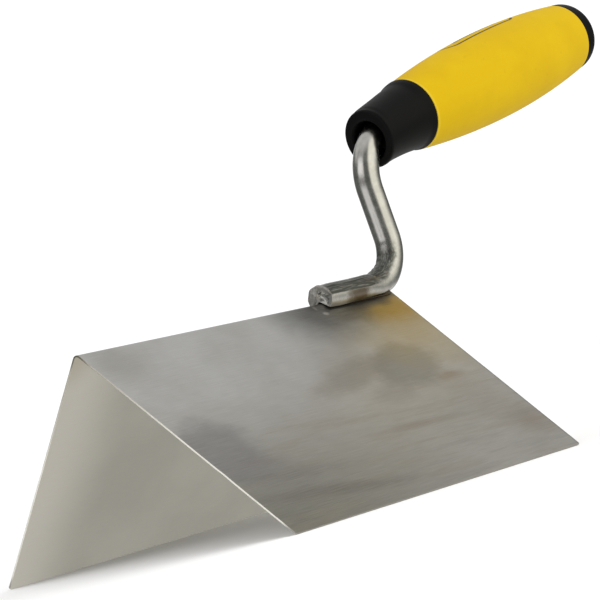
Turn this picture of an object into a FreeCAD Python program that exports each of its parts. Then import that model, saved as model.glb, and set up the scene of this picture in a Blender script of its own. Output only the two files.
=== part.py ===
"""Corner trowel: a folded sheet blade with a bent bar shank welded along the fold and a moulded handle.

Millimetres. The two free edges of the blade stand on Z = 0, the fold runs along X with the nose at -X,
the handle points to +X, and Y = 0 is the plane of symmetry. The origin is the bottom centre of the
whole trowel. Every piece is first modelled from the nose end of the fold, where Z = 0 is the sharp
line in which the two outer faces would meet, and is moved to the origin when it is written.
"""
import FreeCAD, Part
import math
import os

from FreeCAD import Vector

# ---- blade: one sheet folded along its middle
RIDGE_LENGTH = 120.0        # nose to tail along the fold
LEG_WIDTH = 82.5            # each leg, from the sharp line to its free edge
FOLD_ANGLE = 93.0           # between the two legs, degrees
SHEET = 0.5                 # sheet thickness
FOLD_RADIUS = 2.0           # outer radius of the fold
END_TRIM = 4.3              # the free edge is shorter than the fold by this at each end
CORNER_RADIUS = 0.6         # corners at the free edges, seen square to the sheet

# ---- shank: round bar, pressed over the fold and bent up to the handle
BAR_RADIUS = 4.0
FOOT_START = 90.7           # front end of the bar, from the nose
FOOT_HEIGHT = 0.75          # bar's centre line above the sharp line
LOWER_BEND = 12.8           # centre-line radius of the bend at the tail
SHANK_X = 125.1             # where the leaning part of the bar passes SHANK_Z
SHANK_Z = 20.0
SHANK_LEAN = 7.4            # lean towards the nose, degrees
UPPER_BEND = 17.0           # centre-line radius of the bend into the handle
GROOVE_ANGLE = 108.0        # opening of the groove pressed under the foot
GROOVE_RUN_OUT = 8.0        # the groove is cut this far past the tail, clear of the bend
TANG_END = 82.0             # end of the tang, along the handle from its front face
TANG_CHAMFER = 0.8

# ---- weld beads, one in each wedge between the groove and the fold
BEAD_INNER = 1.6            # distance of the bead's near and far sides from Y = 0
BEAD_OUTER = 2.7
BEAD_SETBACK = 1.0          # the beads start this far inside the front end of the bar
BEAD_END = 119.0

# ---- handle: distances along its axis from the front face; all but the collar is a body of revolution
HANDLE_X = 128.35           # where the axis meets the front face
HANDLE_Z = 46.06
HANDLE_TILT = 12.8          # axis above +X, degrees
HANDLE_LENGTH = 116.0
COLLAR = (                  # sections of the front collar: distance, radius, centre below the axis
    (0.0, 9.2, 1.15),       # the front end hangs lower, as a lip for the finger
    (5.2, 9.4, 0.6),
    (9.4, 9.7, 0.3),
    (13.6, 10.1, 0.05),
    (17.8, 10.6, -0.1),
    (19.6, 11.0, -0.3),     # shoulder in front of the grip
    (21.4, 11.5, -0.1),
)
FRONT_ROUND = 0.9           # rounded rim of the front face
COLLAR_END = 21.4           # front collar meets the grip
BELLY = 67.8                # widest place of the grip
BELLY_RADIUS = 14.6
GRIP_FRONT_RADIUS = 11.35
GRIP_EDGE = 0.35            # small round on both ends of the soft grip
CAP_START = 107.3           # grip meets the end cap
REAR_RADIUS = 10.65         # radius that the rear curve reaches at the very end
CAP_ROUND = 6.0             # rounded edge of the end cap
CAP_CROWN = 0.5             # the end of the cap bulges by this
MOUTH_RADIUS = 6.5          # conical mouth of the recess round the bar
RECESS_RADIUS = 5.9
MOUTH_DEPTH = 0.8
RECESS_DEPTH = 9.5
RECESS_DROP = 1.6           # centre of the recess, below the axis
CORE_RADIUS = 7.6           # hard core under the grip
SOCKET_RADIUS = 5.0         # rear socket for the end cap's plug
SOCKET_START = 92.0
PLUG_GAP = 0.6              # air left in front of the plug

HALF_FOLD = math.radians(FOLD_ANGLE / 2)
TILT = math.radians(HANDLE_TILT)
LEAN = math.radians(SHANK_LEAN)


def leg_point(side, along, depth=0.0):
    """Point of a leg's section: along the outer face from the sharp line, depth into the sheet."""
    y = along * math.sin(HALF_FOLD) - depth * math.cos(HALF_FOLD)
    z = -along * math.cos(HALF_FOLD) - depth * math.sin(HALF_FOLD)
    return Vector(0, side * y, z)


def prism_along_x(points, start, length):
    """Prism with the given YZ outline, from X = start."""
    outline = Part.makePolygon([Vector(start, p.y, p.z) for p in points + points[:1]])
    return Part.Face(outline).extrude(Vector(length, 0, 0))


def make_blade():
    """Folded sheet, trimmed so that both ends slope back from the fold to the free edges."""
    tangent = FOLD_RADIUS / math.tan(HALF_FOLD)
    fold_centre = -FOLD_RADIUS / math.sin(HALF_FOLD)
    outer_top = Vector(0, 0, fold_centre + FOLD_RADIUS)
    inner_top = Vector(0, 0, fold_centre + FOLD_RADIUS - SHEET)
    outer = [leg_point(side, tangent) for side in (-1, 1)]
    inner = [leg_point(side, tangent, SHEET) for side in (-1, 1)]
    outer_foot = [leg_point(side, LEG_WIDTH) for side in (-1, 1)]
    inner_foot = [leg_point(side, LEG_WIDTH, SHEET) for side in (-1, 1)]
    section = Part.Wire([
        Part.makeLine(outer_foot[0], outer[0]),
        Part.Arc(outer[0], outer_top, outer[1]).toShape(),
        Part.makeLine(outer[1], outer_foot[1]),
        Part.makeLine(outer_foot[1], inner_foot[1]),
        Part.makeLine(inner_foot[1], inner[1]),
        Part.Arc(inner[1], inner_top, inner[0]).toShape(),
        Part.makeLine(inner[0], inner_foot[0]),
        Part.makeLine(inner_foot[0], outer_foot[0]),
    ])
    sheet = Part.Face(section).extrude(Vector(RIDGE_LENGTH, 0, 0))
    width = outer_foot[1].y
    depth = -inner_foot[1].z
    plan = [(0, 0), (END_TRIM, width), (RIDGE_LENGTH - END_TRIM, width),
            (RIDGE_LENGTH, 0), (RIDGE_LENGTH - END_TRIM, -width), (END_TRIM, -width)]
    outline = Part.makePolygon([Vector(x, y, -depth - 1) for x, y in plan + plan[:1]])
    blade = sheet.common(Part.Face(outline).extrude(Vector(0, 0, depth + 2)))
    corners = [edge for edge in blade.Edges
               if abs(edge.Length - SHEET) < 0.1 and abs(edge.CenterOfMass.y) > width - 1]
    return blade.makeFillet(CORNER_RADIUS, corners)


def bend(before, corner, after, radius):
    """Ends and middle of the arc that rounds a corner between two directions in the plane Y = 0."""
    turn = before.getAngle(after)
    reach = radius * math.tan(turn / 2)
    start = corner - before * reach
    end = corner + after * reach
    inward = (after - before).normalize()
    middle = corner + inward * (radius / math.cos(turn / 2) - radius)
    return start, middle, end


def handle_point(along, radius=0.0):
    """Point in the plane Y = 0, along the handle's axis and radius above it."""
    x = HANDLE_X + along * math.cos(TILT) - radius * math.sin(TILT)
    z = HANDLE_Z + along * math.sin(TILT) + radius * math.cos(TILT)
    return Vector(x, 0, z)


def make_shank():
    """Bar swept along foot, lower bend, leaning shank, upper bend and tang, with a groove under the foot."""
    along_foot = Vector(1, 0, 0)
    up_shank = Vector(-math.sin(LEAN), 0, math.cos(LEAN))
    along_handle = Vector(math.cos(TILT), 0, math.sin(TILT))
    to_foot = (FOOT_HEIGHT - SHANK_Z) / up_shank.z
    lower_corner = Vector(SHANK_X, 0, SHANK_Z) + up_shank * to_foot
    to_handle = (HANDLE_Z - SHANK_Z - (HANDLE_X - SHANK_X) * math.tan(TILT)) / (
        up_shank.z - up_shank.x * math.tan(TILT))
    upper_corner = Vector(SHANK_X, 0, SHANK_Z) + up_shank * to_handle
    lower = bend(along_foot, lower_corner, up_shank, LOWER_BEND)
    upper = bend(up_shank, upper_corner, along_handle, UPPER_BEND)
    start = Vector(FOOT_START, 0, FOOT_HEIGHT)
    path = Part.Wire([
        Part.makeLine(start, lower[0]),
        Part.Arc(*lower).toShape(),
        Part.makeLine(lower[2], upper[0]),
        Part.Arc(*upper).toShape(),
        Part.makeLine(upper[2], handle_point(TANG_END)),
    ])
    bar = path.makePipeShell([Part.Wire(Part.makeCircle(BAR_RADIUS, start, along_foot))], True, True)
    end_rim = [edge for edge in bar.Edges
               if (edge.CenterOfMass - handle_point(TANG_END)).Length < 0.1]
    bar = bar.makeChamfer(TANG_CHAMFER, end_rim)
    length = RIDGE_LENGTH + GROOVE_RUN_OUT - FOOT_START
    groove = prism_along_x(groove_outline(), FOOT_START, length)
    return bar.cut(groove)


def groove_apex():
    """Height of the groove's apex when its flanks touch the rounded fold."""
    flank = math.radians(90 - GROOVE_ANGLE / 2)
    return FOLD_RADIUS / math.cos(flank) - FOLD_RADIUS / math.sin(HALF_FOLD)


def groove_outline():
    """Triangle below the two flanks of the groove."""
    drop = 2 * BAR_RADIUS
    half = drop * math.tan(math.radians(GROOVE_ANGLE / 2))
    apex = groove_apex()
    return [Vector(0, 0, apex), Vector(0, half, apex - drop), Vector(0, -half, apex - drop)]


def make_bead(side):
    """Weld bead that fills the wedge between one flank of the groove and the blade's outer face."""
    flank_slope = 1 / math.tan(math.radians(GROOVE_ANGLE / 2))
    face_slope = 1 / math.tan(HALF_FOLD)
    outline = []
    for y, slope, top in ((BEAD_INNER, face_slope, 0), (BEAD_OUTER, face_slope, 0),
                          (BEAD_OUTER, flank_slope, groove_apex()),
                          (BEAD_INNER, flank_slope, groove_apex())):
        outline.append(Vector(0, side * y, top - slope * y))
    start = FOOT_START + BEAD_SETBACK
    return prism_along_x(outline, start, BEAD_END - start)


def turn_profile(edges):
    """Solid of revolution about the handle's axis."""
    along_handle = Vector(math.cos(TILT), 0, math.sin(TILT))
    face = Part.Face(Part.Wire(edges))
    return face.revolve(handle_point(0), along_handle, 360)


def line(first, second):
    return Part.makeLine(handle_point(*first), handle_point(*second))


def arc(first, middle, last):
    return Part.Arc(handle_point(*first), handle_point(*middle), handle_point(*last)).toShape()


def grip_front(along):
    """Radius of the grip between the front collar and the belly: an arc, level at the belly."""
    drop = BELLY_RADIUS - GRIP_FRONT_RADIUS
    reach = BELLY - COLLAR_END
    radius = (reach ** 2 + drop ** 2) / (2 * drop)
    return BELLY_RADIUS - radius + math.sqrt(radius ** 2 - (BELLY - along) ** 2)


def grip_rear(along):
    """Radius of the grip and end cap behind the belly: an arc, level at the belly."""
    drop = BELLY_RADIUS - REAR_RADIUS
    reach = HANDLE_LENGTH - BELLY
    radius = (reach ** 2 + drop ** 2) / (2 * drop)
    return BELLY_RADIUS - radius + math.sqrt(radius ** 2 - (along - BELLY) ** 2)


def make_collar():
    """Front collar: a loft through round sections, with a rounded rim at the front."""
    along_handle = Vector(math.cos(TILT), 0, math.sin(TILT))
    sections = [Part.Wire(Part.makeCircle(radius, handle_point(along, -drop), along_handle))
                for along, radius, drop in COLLAR]
    collar = Part.makeLoft(sections, True, False)
    front_rim = [edge for edge in collar.Edges
                 if (edge.CenterOfMass - handle_point(0, -COLLAR[0][2])).Length < 0.1]
    return collar.makeFillet(FRONT_ROUND, front_rim)


def make_handle_core():
    """Hard moulding: the front collar, and the core under the grip with a bore for the tang."""
    core = turn_profile([
        line((COLLAR_END / 2, 0), (COLLAR_END / 2, CORE_RADIUS)),
        line((COLLAR_END / 2, CORE_RADIUS), (CAP_START, CORE_RADIUS)),
        line((CAP_START, CORE_RADIUS), (CAP_START, 0)),
        line((CAP_START, 0), (COLLAR_END / 2, 0)),
    ])
    recess = turn_profile([
        line((-1, 0), (-1, MOUTH_RADIUS)),
        line((-1, MOUTH_RADIUS), (0, MOUTH_RADIUS)),
        line((0, MOUTH_RADIUS), (MOUTH_DEPTH, RECESS_RADIUS)),
        line((MOUTH_DEPTH, RECESS_RADIUS), (RECESS_DEPTH, RECESS_RADIUS)),
        line((RECESS_DEPTH, RECESS_RADIUS), (RECESS_DEPTH, 0)),
        line((RECESS_DEPTH, 0), (-1, 0)),
    ])
    recess.translate(handle_point(0, -RECESS_DROP) - handle_point(0))
    bore = turn_profile([
        line((0, 0), (0, BAR_RADIUS)),
        line((0, BAR_RADIUS), (TANG_END, BAR_RADIUS)),
        line((TANG_END, BAR_RADIUS), (TANG_END, 0)),
        line((TANG_END, 0), (0, 0)),
    ])
    socket = turn_profile([
        line((SOCKET_START, 0), (SOCKET_START, SOCKET_RADIUS)),
        line((SOCKET_START, SOCKET_RADIUS), (CAP_START, SOCKET_RADIUS)),
        line((CAP_START, SOCKET_RADIUS), (CAP_START, 0)),
        line((CAP_START, 0), (SOCKET_START, 0)),
    ])
    return make_collar().fuse(core).cut(recess).cut(bore).cut(socket).removeSplitter()


def make_grip_sleeve():
    """Soft sleeve moulded over the core, barrel shaped, with a small round at each end."""
    front = COLLAR_END + GRIP_EDGE
    rear = CAP_START - GRIP_EDGE
    front_radius = grip_front(front)
    rear_radius = grip_rear(rear)
    front_middle = (BELLY + front) / 2
    rear_middle = (BELLY + rear) / 2
    edge_middle = GRIP_EDGE * (1 - math.sqrt(0.5))
    edges = [
        line((COLLAR_END, CORE_RADIUS), (COLLAR_END, front_radius - GRIP_EDGE)),
        arc((COLLAR_END, front_radius - GRIP_EDGE),
            (COLLAR_END + edge_middle, front_radius - edge_middle), (front, front_radius)),
        arc((front, front_radius), (front_middle, grip_front(front_middle)), (BELLY, BELLY_RADIUS)),
        arc((BELLY, BELLY_RADIUS), (rear_middle, grip_rear(rear_middle)), (rear, rear_radius)),
        arc((rear, rear_radius), (CAP_START - edge_middle, rear_radius - edge_middle),
            (CAP_START, rear_radius - GRIP_EDGE)),
        line((CAP_START, rear_radius - GRIP_EDGE), (CAP_START, CORE_RADIUS)),
        line((CAP_START, CORE_RADIUS), (COLLAR_END, CORE_RADIUS)),
    ]
    return turn_profile(edges)


def make_end_cap():
    """Hard cap that closes the rear of the grip, with a plug in the core's socket."""
    shoulder = HANDLE_LENGTH - CAP_CROWN - CAP_ROUND
    shoulder_radius = grip_rear(shoulder)
    side_middle = (CAP_START + shoulder) / 2
    root_half = math.sqrt(0.5)
    end_radius = shoulder_radius - CAP_ROUND
    edges = [
        line((CAP_START, SOCKET_RADIUS), (CAP_START, grip_rear(CAP_START))),
        arc((CAP_START, grip_rear(CAP_START)), (side_middle, grip_rear(side_middle)),
            (shoulder, shoulder_radius)),
        arc((shoulder, shoulder_radius),
            (shoulder + CAP_ROUND * root_half, end_radius + CAP_ROUND * root_half),
            (HANDLE_LENGTH - CAP_CROWN, end_radius)),
        line((HANDLE_LENGTH - CAP_CROWN, end_radius), (HANDLE_LENGTH, 0)),
        line((HANDLE_LENGTH, 0), (SOCKET_START + PLUG_GAP, 0)),
        line((SOCKET_START + PLUG_GAP, 0), (SOCKET_START + PLUG_GAP, SOCKET_RADIUS)),
        line((SOCKET_START + PLUG_GAP, SOCKET_RADIUS), (CAP_START, SOCKET_RADIUS)),
    ]
    return turn_profile(edges)


def main():
    os.makedirs("parts", exist_ok=True)
    parts = {
        "blade": make_blade(),
        "shank": make_shank(),
        "weld_bead_left": make_bead(1),
        "weld_bead_right": make_bead(-1),
        "handle_core": make_handle_core(),
        "grip_sleeve": make_grip_sleeve(),
        "end_cap": make_end_cap(),
    }
    box = Part.makeCompound(list(parts.values())).optimalBoundingBox(False, False)
    to_origin = Vector(-(box.XMin + box.XMax) / 2, 0, -box.ZMin)
    print("size %.2f x %.2f x %.2f, moved by %.3f, %.3f" % (
        box.XLength, box.YLength, box.ZLength, to_origin.x, to_origin.z))
    for name, shape in parts.items():
        shape.translate(to_origin)
        print("%-16s solids %d valid %s volume %.1f" % (
            name, len(shape.Solids), shape.isValid(), shape.Volume))
        shape.exportStep("parts/%s.step" % name)


main()
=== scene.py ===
import math

import bmesh
import bpy
from mathutils import Matrix, Vector


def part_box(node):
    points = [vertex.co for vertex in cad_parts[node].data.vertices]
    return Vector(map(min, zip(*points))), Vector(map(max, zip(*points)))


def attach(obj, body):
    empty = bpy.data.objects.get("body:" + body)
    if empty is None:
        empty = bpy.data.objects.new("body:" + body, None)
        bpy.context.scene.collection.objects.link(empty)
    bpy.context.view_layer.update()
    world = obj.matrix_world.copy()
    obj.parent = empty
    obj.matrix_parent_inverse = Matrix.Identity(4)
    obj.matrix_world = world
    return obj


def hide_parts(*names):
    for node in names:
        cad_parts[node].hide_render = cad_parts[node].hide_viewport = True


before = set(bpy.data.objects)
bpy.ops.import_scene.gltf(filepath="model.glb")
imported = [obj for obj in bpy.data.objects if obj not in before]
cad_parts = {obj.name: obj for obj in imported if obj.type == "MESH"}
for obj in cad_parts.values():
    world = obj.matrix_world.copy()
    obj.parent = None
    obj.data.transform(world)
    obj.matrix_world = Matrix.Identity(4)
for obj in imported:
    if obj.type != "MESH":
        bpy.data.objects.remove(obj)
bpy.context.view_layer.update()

# Lengths are millimetres in the trowel's own place: X from the nose end of the fold, Z from the sharp
# line in which the two outer faces of the blade would meet. to_row() turns them into the row frame.
MM = 0.001
FOLD_ANGLE = 93.0
FOLD_RADIUS = 2.0
SHEET = 0.5
END_TRIM = 4.3
CORNER_RADIUS = 0.6
HALF_FOLD = math.radians(FOLD_ANGLE / 2)

blade_low, blade_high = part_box("blade")
NOSE_X = blade_low.x / MM
RIDGE_LENGTH = (blade_high.x - blade_low.x) / MM
HALF_WIDTH = blade_high.y / MM
FOLD_TOP = blade_high.z / MM
LEG_WIDTH = HALF_WIDTH / math.sin(HALF_FOLD)
SHARP_LINE_Z = FOLD_TOP + FOLD_RADIUS / math.sin(HALF_FOLD) - FOLD_RADIUS

BAR_RADIUS = 4.05
FOOT_START = (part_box("shank")[0].x / MM) - NOSE_X
FOOT_HEIGHT = 0.75
LOWER_BEND = 12.8
UPPER_BEND = 17.0
SHANK_X, SHANK_Z = 125.1, 20.0
LEAN = math.radians(7.4)
TILT = math.radians(12.8)
HANDLE_X, HANDLE_Z = 128.35, 46.06
HANDLE_LENGTH = 116.0
TANG_END = 82.0
COLLAR_END = 21.4
CAP_START = 107.3
BELLY, BELLY_RADIUS = 67.8, 14.6
GRIP_FRONT_RADIUS = 11.35
REAR_RADIUS = 10.65
CORE_RADIUS = 7.6
SOCKET_START, SOCKET_RADIUS = 92.0, 5.0

AROUND = 128                # points round a turned piece
LOWER_CENTRE = (113.03, FOOT_HEIGHT + LOWER_BEND)   # centre of the lower bend, as (x, z)
BADGE_CENTRE = 66.0         # middle of the printed badge, along the handle
BADGE_STRAIGHT = 14.0       # half the straight part of its outline
SLIP = 0.02                 # air between visual pieces that fit into each other

TENT = 1.1                  # strength of the white surroundings
CAMERA_HEADING = math.radians(45.468)   # the way the camera looks, from +X towards +Y
CAMERA_CLIMB = math.radians(2.786)
CAMERA_ROLL = math.radians(-14.418)
CAMERA_PLACE = (-336.693, -427.383, -27.598)
SOFTBOX_DISTANCE = 1.2      # metres


def to_row(point):
    """A point given from the nose and the sharp line, in the row frame in metres."""
    x, y, z = point
    return Vector(((x + NOSE_X) * MM, y * MM, (z + SHARP_LINE_Z) * MM))


def smoothstep(low, high, value):
    """0 at low, 1 at high, smooth in between; high may be the lower one."""
    t = min(max((value - low) / (high - low), 0.0), 1.0)
    return t * t * (3 - 2 * t)


# ---------------------------------------------------------------- mesh building

class Skin:
    """Collects rings of points and the faces between them, then makes one object of them."""

    def __init__(self):
        self.points = []
        self.faces = []
        self.face_material = []

    def ring(self, points):
        start = len(self.points)
        self.points += [to_row(p) for p in points]
        return list(range(start, len(self.points)))

    def face(self, indices, material=0):
        self.faces.append(indices)
        self.face_material.append(material)

    def bridge(self, first, second, material=0, closed=True):
        count = len(first)
        for k in range(count if closed else count - 1):
            n = (k + 1) % count
            self.face((first[k], first[n], second[n], second[k]), material)

    def fan(self, ring, centre, flip=False):
        middle = self.ring([centre])[0]
        for k in range(len(ring)):
            n = (k + 1) % len(ring)
            self.face((ring[n], ring[k], middle) if flip else (ring[k], ring[n], middle))

    def make(self, name, materials, sharp_angle=40.0):
        mesh = bpy.data.meshes.new(name)
        mesh.from_pydata(self.points, [], self.faces)
        for material in materials:
            mesh.materials.append(material)
        mesh.polygons.foreach_set("material_index", self.face_material)
        mesh.polygons.foreach_set("use_smooth", [True] * len(self.faces))
        mesh.validate()
        mesh.update()
        made = bpy.data.objects.new(name, mesh)
        bpy.context.scene.collection.objects.link(made)
        outward(made)
        mesh.set_sharp_from_angle(angle=math.radians(sharp_angle))
        return made


def outward(made):
    """Turns all faces of a closed mesh outwards."""
    work = bmesh.new()
    work.from_mesh(made.data)
    bmesh.ops.recalc_face_normals(work, faces=work.faces)
    work.to_mesh(made.data)
    work.free()


def fix(piece, node):
    """Hangs a piece on the one body, in place of its CAD node."""
    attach(piece, "root")
    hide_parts(node)


# ---------------------------------------------------------------- material building

class Nodes:
    """A node tree; its helpers add one node each and return the output socket."""

    def __init__(self, tree):
        self.tree = tree
        tree.nodes.clear()

    def feed(self, socket, value):
        if isinstance(value, bpy.types.NodeSocket):
            self.tree.links.new(value, socket)
        else:
            socket.default_value = value

    def math(self, operation, first, second=0.0):
        made = self.tree.nodes.new("ShaderNodeMath")
        made.operation = operation
        self.feed(made.inputs[0], first)
        self.feed(made.inputs[1], second)
        return made.outputs[0]

    def add(self, first, second):
        return self.math("ADD", first, second)

    def times(self, first, second):
        return self.math("MULTIPLY", first, second)

    def split(self, vector):
        made = self.tree.nodes.new("ShaderNodeSeparateXYZ")
        self.feed(made.inputs[0], vector)
        return made.outputs

    def join(self, x, y, z=0.0):
        made = self.tree.nodes.new("ShaderNodeCombineXYZ")
        for socket, value in zip(made.inputs, (x, y, z)):
            self.feed(socket, value)
        return made.outputs[0]

    def scaled(self, vector, scale):
        made = self.tree.nodes.new("ShaderNodeVectorMath")
        made.operation = "MULTIPLY"
        self.feed(made.inputs[0], vector)
        made.inputs[1].default_value = scale
        return made.outputs[0]

    def noise(self, vector, scale, detail, roughness):
        made = self.tree.nodes.new("ShaderNodeTexNoise")
        self.feed(made.inputs["Vector"], vector)
        made.inputs["Scale"].default_value = scale
        made.inputs["Detail"].default_value = detail
        made.inputs["Roughness"].default_value = roughness
        made.inputs["Distortion"].default_value = 0.0
        return made.outputs["Fac"]

    def step(self, value, low, high):
        """0 below low, 1 above high, smooth in between; high may be the lower one."""
        made = self.tree.nodes.new("ShaderNodeMapRange")
        made.interpolation_type = "SMOOTHSTEP"
        if low > high:
            low, high, ends = high, low, (1.0, 0.0)
        else:
            ends = (0.0, 1.0)
        self.feed(made.inputs["Value"], value)
        made.inputs["From Min"].default_value = low
        made.inputs["From Max"].default_value = high
        made.inputs["To Min"].default_value, made.inputs["To Max"].default_value = ends
        return made.outputs["Result"]

    def mix(self, factor, first, second):
        made = self.tree.nodes.new("ShaderNodeMix")
        made.data_type = "RGBA"
        self.feed(made.inputs[0], factor)
        self.feed(made.inputs[6], rgba(first))
        self.feed(made.inputs[7], rgba(second))
        return made.outputs[2]

    def bump(self, height, distance, strength=1.0, normal=None):
        made = self.tree.nodes.new("ShaderNodeBump")
        made.inputs["Strength"].default_value = strength
        made.inputs["Distance"].default_value = distance
        self.feed(made.inputs["Height"], height)
        if normal is not None:
            self.feed(made.inputs["Normal"], normal)
        return made.outputs["Normal"]


class Shader(Nodes):
    """A material with one Principled surface."""

    def __init__(self, name):
        self.material = bpy.data.materials.new(name)
        self.material.use_nodes = True
        super().__init__(self.material.node_tree)
        self.surface = self.tree.nodes.new("ShaderNodeBsdfPrincipled")
        output = self.tree.nodes.new("ShaderNodeOutputMaterial")
        self.tree.links.new(self.surface.outputs["BSDF"], output.inputs["Surface"])
        self.place = self.tree.nodes.new("ShaderNodeTexCoord").outputs["Object"]

    def leg_place(self):
        """(mm from the nose, mm down from the fold, negative on the -Y leg) of a point of the blade."""
        x, y, _ = self.split(self.place)
        along = self.add(self.times(x, 1 / MM), -NOSE_X)
        down = self.times(y, 1 / MM / math.sin(HALF_FOLD))
        return along, down

    def spot(self, place, centre, reach, turn=0.0, soft=0.35, wander=None):
        """1 inside an ellipse, fading to 0 round its edge."""
        x, y = place
        dx = self.add(x, -centre[0])
        dy = self.add(y, -centre[1])
        c, s = math.cos(math.radians(turn)), math.sin(math.radians(turn))
        u = self.times(self.add(self.times(dx, c), self.times(dy, s)), 1 / reach[0])
        v = self.times(self.add(self.times(dy, c), self.times(dx, -s)), 1 / reach[1])
        far = self.math("SQRT", self.add(self.times(u, u), self.times(v, v)))
        if wander is not None:
            far = self.add(far, wander)
        return self.step(far, 1 + soft, 1 - soft)


def rgba(value):
    """A colour of three numbers gets its fourth; a socket stays as it is."""
    if isinstance(value, tuple) and len(value) == 3:
        return (*value, 1.0)
    return value


def steel_surface(shader, roughness, tint):
    """Sets up a bare metal surface."""
    shader.surface.inputs["Metallic"].default_value = 1.0
    shader.feed(shader.surface.inputs["Roughness"], roughness)
    shader.feed(shader.surface.inputs["Base Color"], tint)


def make_blade_outer():
    """Brushed sheet: streaks along the fold, heat colours round the weld, soft handling marks."""
    m = Shader("blade_outer")
    along, down = m.leg_place()
    depth = m.math("ABSOLUTE", down)
    flat = m.join(along, down)
    cloud = m.noise(flat, 0.045, 3.0, 0.55)
    wander = m.times(m.add(m.noise(flat, 0.11, 3.0, 0.6), -0.5), 0.9)
    streak = m.noise(m.scaled(flat, (0.028, 0.24, 1.0)), 1.0, 4.0, 0.6)
    fine = m.noise(m.scaled(flat, (0.12, 6.0, 1.0)), 1.0, 3.0, 0.65)
    place = (along, down)

    colour = m.mix(m.step(cloud, 0.3, 0.7), (0.60, 0.59, 0.565), (0.70, 0.695, 0.685))
    low = m.step(depth, 22.0, 60.0)
    colour = m.mix(m.times(low, 0.42), colour, (0.43, 0.405, 0.345))
    low_nose = m.times(m.step(depth, 30.0, 85.0), m.step(along, 100.0, 0.0))
    colour = m.mix(m.times(low_nose, 0.95), colour, (0.215, 0.21, 0.165))
    warm = m.times(m.step(streak, 0.47, 0.66), m.step(depth, 30.0, 55.0))
    colour = m.mix(m.times(warm, 0.40), colour, (0.41, 0.345, 0.28))
    dark = m.times(m.step(streak, 0.50, 0.34), m.step(depth, 40.0, 70.0))
    colour = m.mix(m.times(dark, 0.30), colour, (0.33, 0.32, 0.29))

    # handling marks on the leg that faces -Y, as (centre, reach, turn, softness, strength, colour)
    marks = (
        ((93.0, -34.5), (13.5, 9.0), 16.0, 0.35, 0.76, (0.31, 0.31, 0.29)),
        ((74.0, -33.5), (19.0, 5.0), 13.0, 0.55, 0.66, (0.36, 0.33, 0.29)),
        ((80.0, -43.5), (9.0, 4.5), 10.0, 0.50, 0.50, (0.38, 0.355, 0.33)),
        ((9.0, -49.0), (11.0, 12.0), 0.0, 0.40, 0.74, (0.285, 0.27, 0.275)),
        ((17.0, -60.0), (10.0, 7.0), -20.0, 0.60, 0.45, (0.28, 0.265, 0.26)),
        ((105.0, -58.0), (7.0, 16.0), 8.0, 0.60, 0.35, (0.43, 0.38, 0.325)),
        ((9.0, -8.0), (8.0, 7.0), 0.0, 0.70, 0.45, (0.38, 0.37, 0.32)),
        ((26.0, -72.5), (24.0, 2.2), -9.0, 0.70, 0.72, (0.22, 0.205, 0.18)),
        ((20.0, -63.0), (18.0, 2.0), -7.0, 0.80, 0.45, (0.26, 0.25, 0.22)),
        ((74.0, -58.5), (13.0, 1.2), -2.0, 0.90, 0.55, (0.33, 0.26, 0.21)),
        ((103.0, -43.0), (4.5, 1.6), 4.0, 0.90, 0.60, (0.36, 0.27, 0.20)),
        ((111.0, -68.0), (6.0, 4.5), 10.0, 0.80, 0.45, (0.36, 0.28, 0.22)),
        ((30.0, 40.0), (17.0, 7.0), -14.0, 0.45, 0.40, (0.40, 0.39, 0.37)),
        ((88.0, 58.0), (12.0, 8.0), 25.0, 0.40, 0.35, (0.41, 0.39, 0.36)),
    )
    for centre, reach, turn, soft, strength, tone in marks:
        mark = m.spot(place, centre, reach, turn, soft, wander)
        colour = m.mix(m.times(mark, strength), colour, tone)

    # heat colours: straw and gold near the tail, dark grey along the foot, burnt patches between,
    # the same on both legs; and two bright tack marks on the -Y leg
    both = (along, depth)
    straw = m.spot(both, (110.0, 14.0), (19.0, 19.0), 30.0, 0.75, wander)
    colour = m.mix(m.times(straw, 0.55), colour, (0.60, 0.50, 0.27))
    gold = m.spot(both, (111.0, 8.0), (12.0, 7.5), 10.0, 0.60, wander)
    colour = m.mix(m.times(gold, 0.92), colour, (0.55, 0.37, 0.045))
    soot = m.spot(both, (86.0, 3.5), (14.0, 11.5), 0.0, 0.75, m.times(wander, 0.5))
    colour = m.mix(m.times(soot, 0.86), colour, (0.085, 0.085, 0.08))
    burns = (((104.0, 5.0), (7.0, 2.2)), ((112.5, 4.5), (3.0, 3.0)), ((97.0, 7.5), (7.0, 4.0)))
    for centre, reach in burns:
        burnt = m.spot(both, centre, reach, -8.0, 0.7, wander)
        colour = m.mix(m.times(burnt, 0.62), colour, (0.14, 0.11, 0.05))
    for centre, reach in (((86.8, -2.3), (0.5, 1.2)), ((88.4, -5.8), (1.0, 0.8))):
        tack = m.spot(place, centre, reach, 0.0, 0.5)
        colour = m.mix(m.times(tack, 0.75), colour, (0.72, 0.70, 0.66))
    seam = m.spot(both, (103.0, 1.0), (18.0, 5.2), 0.0, 0.45, m.times(wander, 0.5))
    colour = m.mix(m.times(seam, 0.92), colour, (0.045, 0.035, 0.02))

    grain = m.step(fine, 0.2, 0.8)
    colour = m.mix(0.22, colour, m.mix(grain, (0.24, 0.24, 0.23), (0.86, 0.85, 0.82)))
    rough = m.add(m.times(grain, 0.14), m.add(0.34, m.times(m.step(cloud, 0.3, 0.7), 0.06)))
    steel_surface(m, rough, colour)
    m.feed(m.surface.inputs["Normal"], m.bump(fine, 0.00002, 0.5))
    return m.material


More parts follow.
